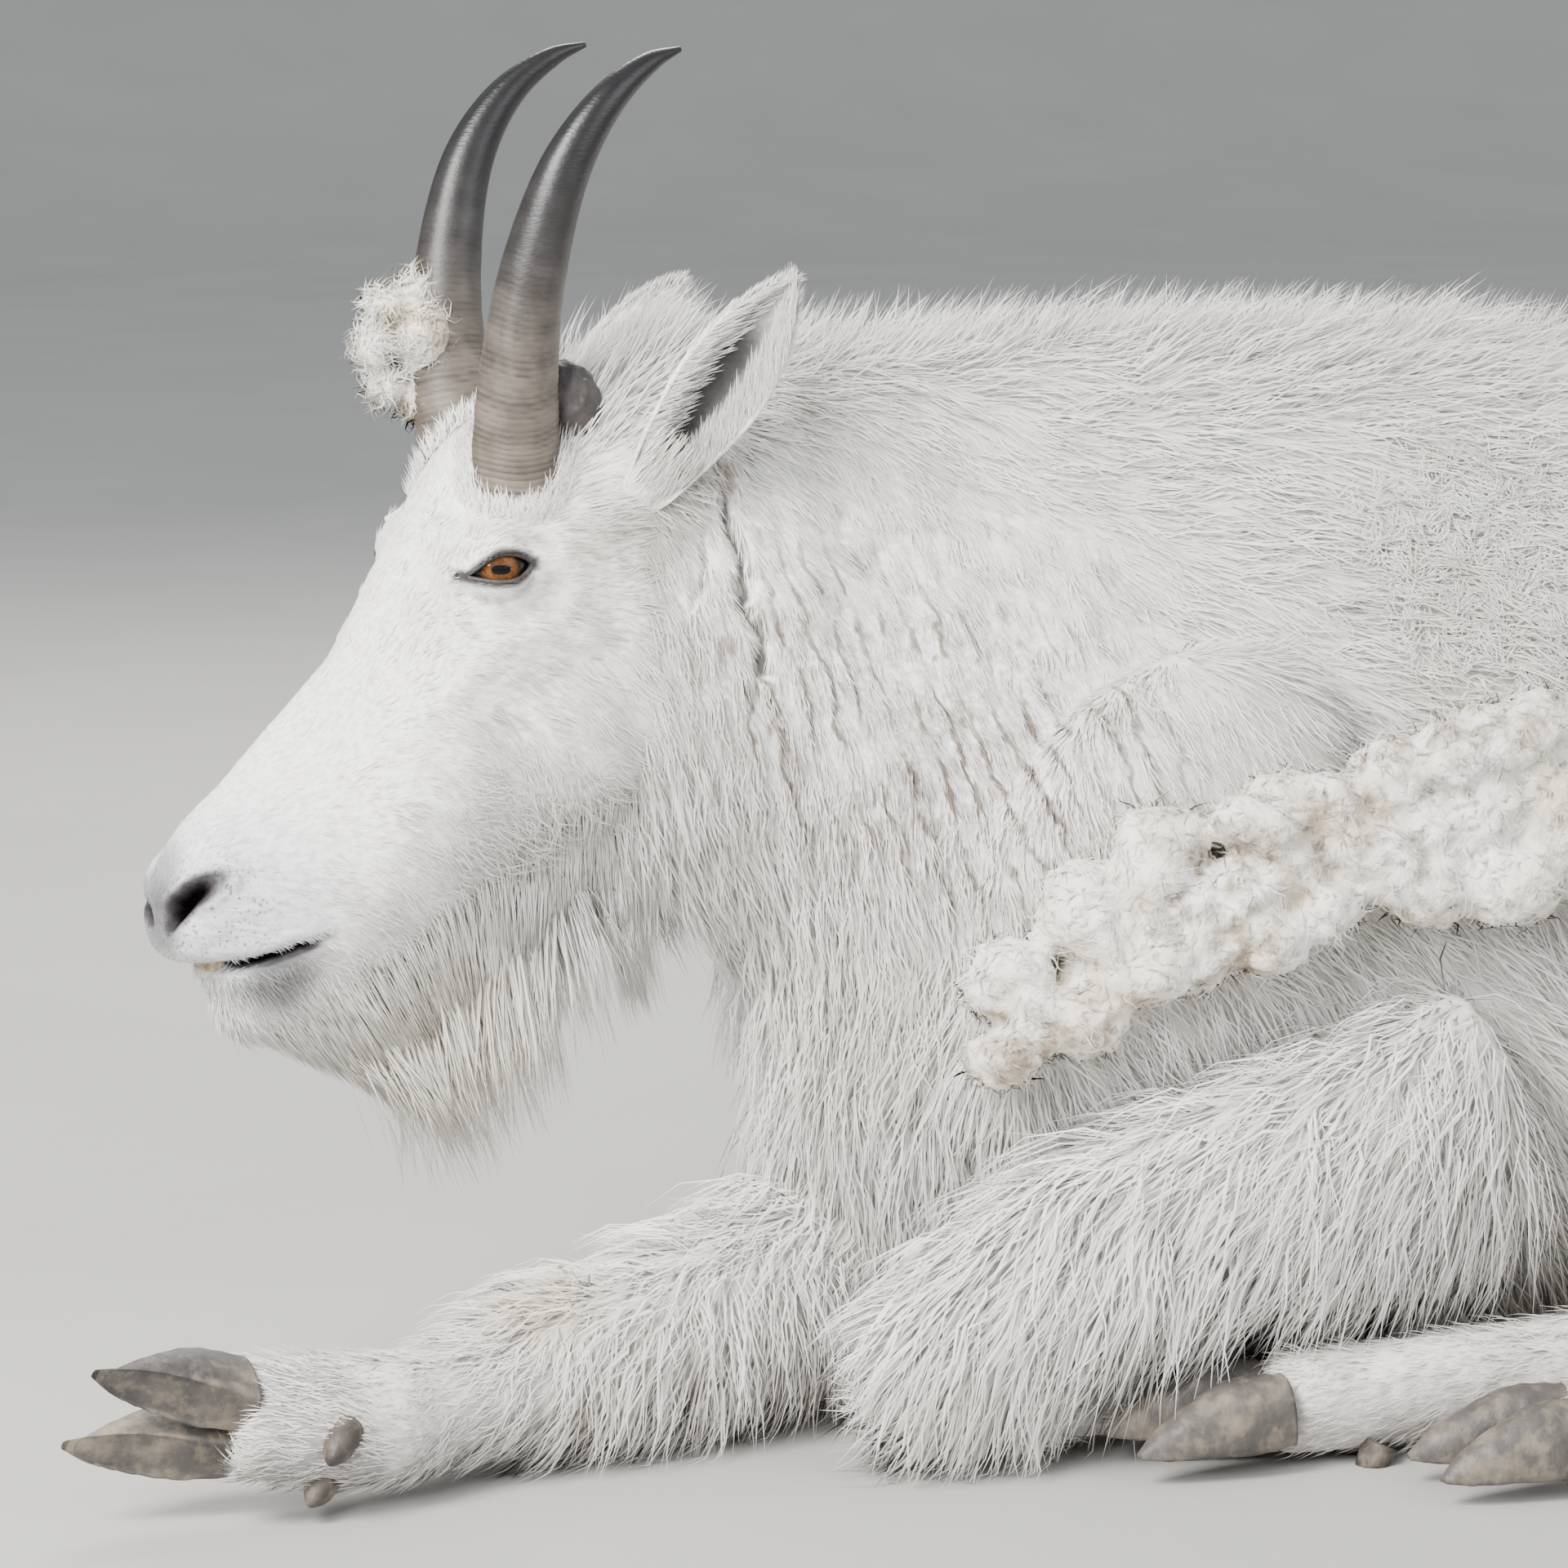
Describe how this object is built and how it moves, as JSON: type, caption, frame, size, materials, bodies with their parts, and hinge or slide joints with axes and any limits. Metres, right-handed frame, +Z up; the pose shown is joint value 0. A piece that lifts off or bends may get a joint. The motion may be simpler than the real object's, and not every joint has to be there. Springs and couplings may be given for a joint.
{
  "type": "mountain goat",
  "caption": "Life-size mountain goat lying at rest with its head up, one foreleg stretched out, bearded and black-horned, its winter coat half shed.",
  "frame": {"origin": "on the floor under the breastbone, at the middle of the flat that the chest rests on", "axes": "+X from the head towards the tail, -Y the goat's left side, +Z up from the floor"},
  "size_m": [1.3569, 0.549, 0.6404],
  "materials": {
    "coat": "short white summer coat with cream shading, longer on beard, chest and legs",
    "shed_wool": "matted cream winter wool with brown dirt",
    "horn": "black horn, ringed and brown below, smooth and glossy towards the tip",
    "gland_skin": "dark rough gland skin behind the horn",
    "eye": "wet amber eye with a level pupil",
    "tooth": "ivory front teeth stained brown",
    "hoof": "dark grey hoof horn, beige towards the worn edge",
    "dewclaw": "dark brown dewclaw horn"
  },
  "bodies": {
    "root": {"eye_left": "eye", "eye_right": "eye", "teeth": "tooth", "head": "coat", "horn_left": "horn", "gland_left": "gland_skin", "horn_right": "horn", "gland_right": "gland_skin", "neck": "coat", "torso_front": "coat", "torso_rear": "coat", "ear_left": "coat", "ear_right": "coat", "wool_tuft": "shed_wool", "tail": "coat", "fore_left_upper": "coat", "fore_left_forearm": "coat", "fore_left_cannon": "coat", "fore_right_upper": "coat", "fore_right_forearm": "coat", "fore_right_cannon": "coat", "fore_right_pastern": "coat", "hind_left_thigh": "coat", "hind_left_shank": "coat", "hind_left_cannon": "coat", "hind_left_pastern": "coat", "hind_right_thigh": "coat", "hind_right_shank": "coat", "hind_right_cannon": "coat", "hind_right_pastern": "coat", "fore_right_claw_a": "hoof", "fore_right_dewclaw_a": "dewclaw", "fore_right_claw_b": "hoof", "fore_right_dewclaw_b": "dewclaw", "fore_left_claw_a": "hoof", "fore_left_dewclaw_a": "dewclaw", "fore_left_claw_b": "hoof", "fore_left_dewclaw_b": "dewclaw", "hind_left_claw_a": "hoof", "hind_left_dewclaw_a": "dewclaw", "hind_left_claw_b": "hoof", "hind_left_dewclaw_b": "dewclaw", "hind_right_claw_a": "hoof", "hind_right_dewclaw_a": "dewclaw", "hind_right_claw_b": "hoof", "hind_right_dewclaw_b": "dewclaw", "fleece": "shed_wool"}
  },
  "joints": []
}
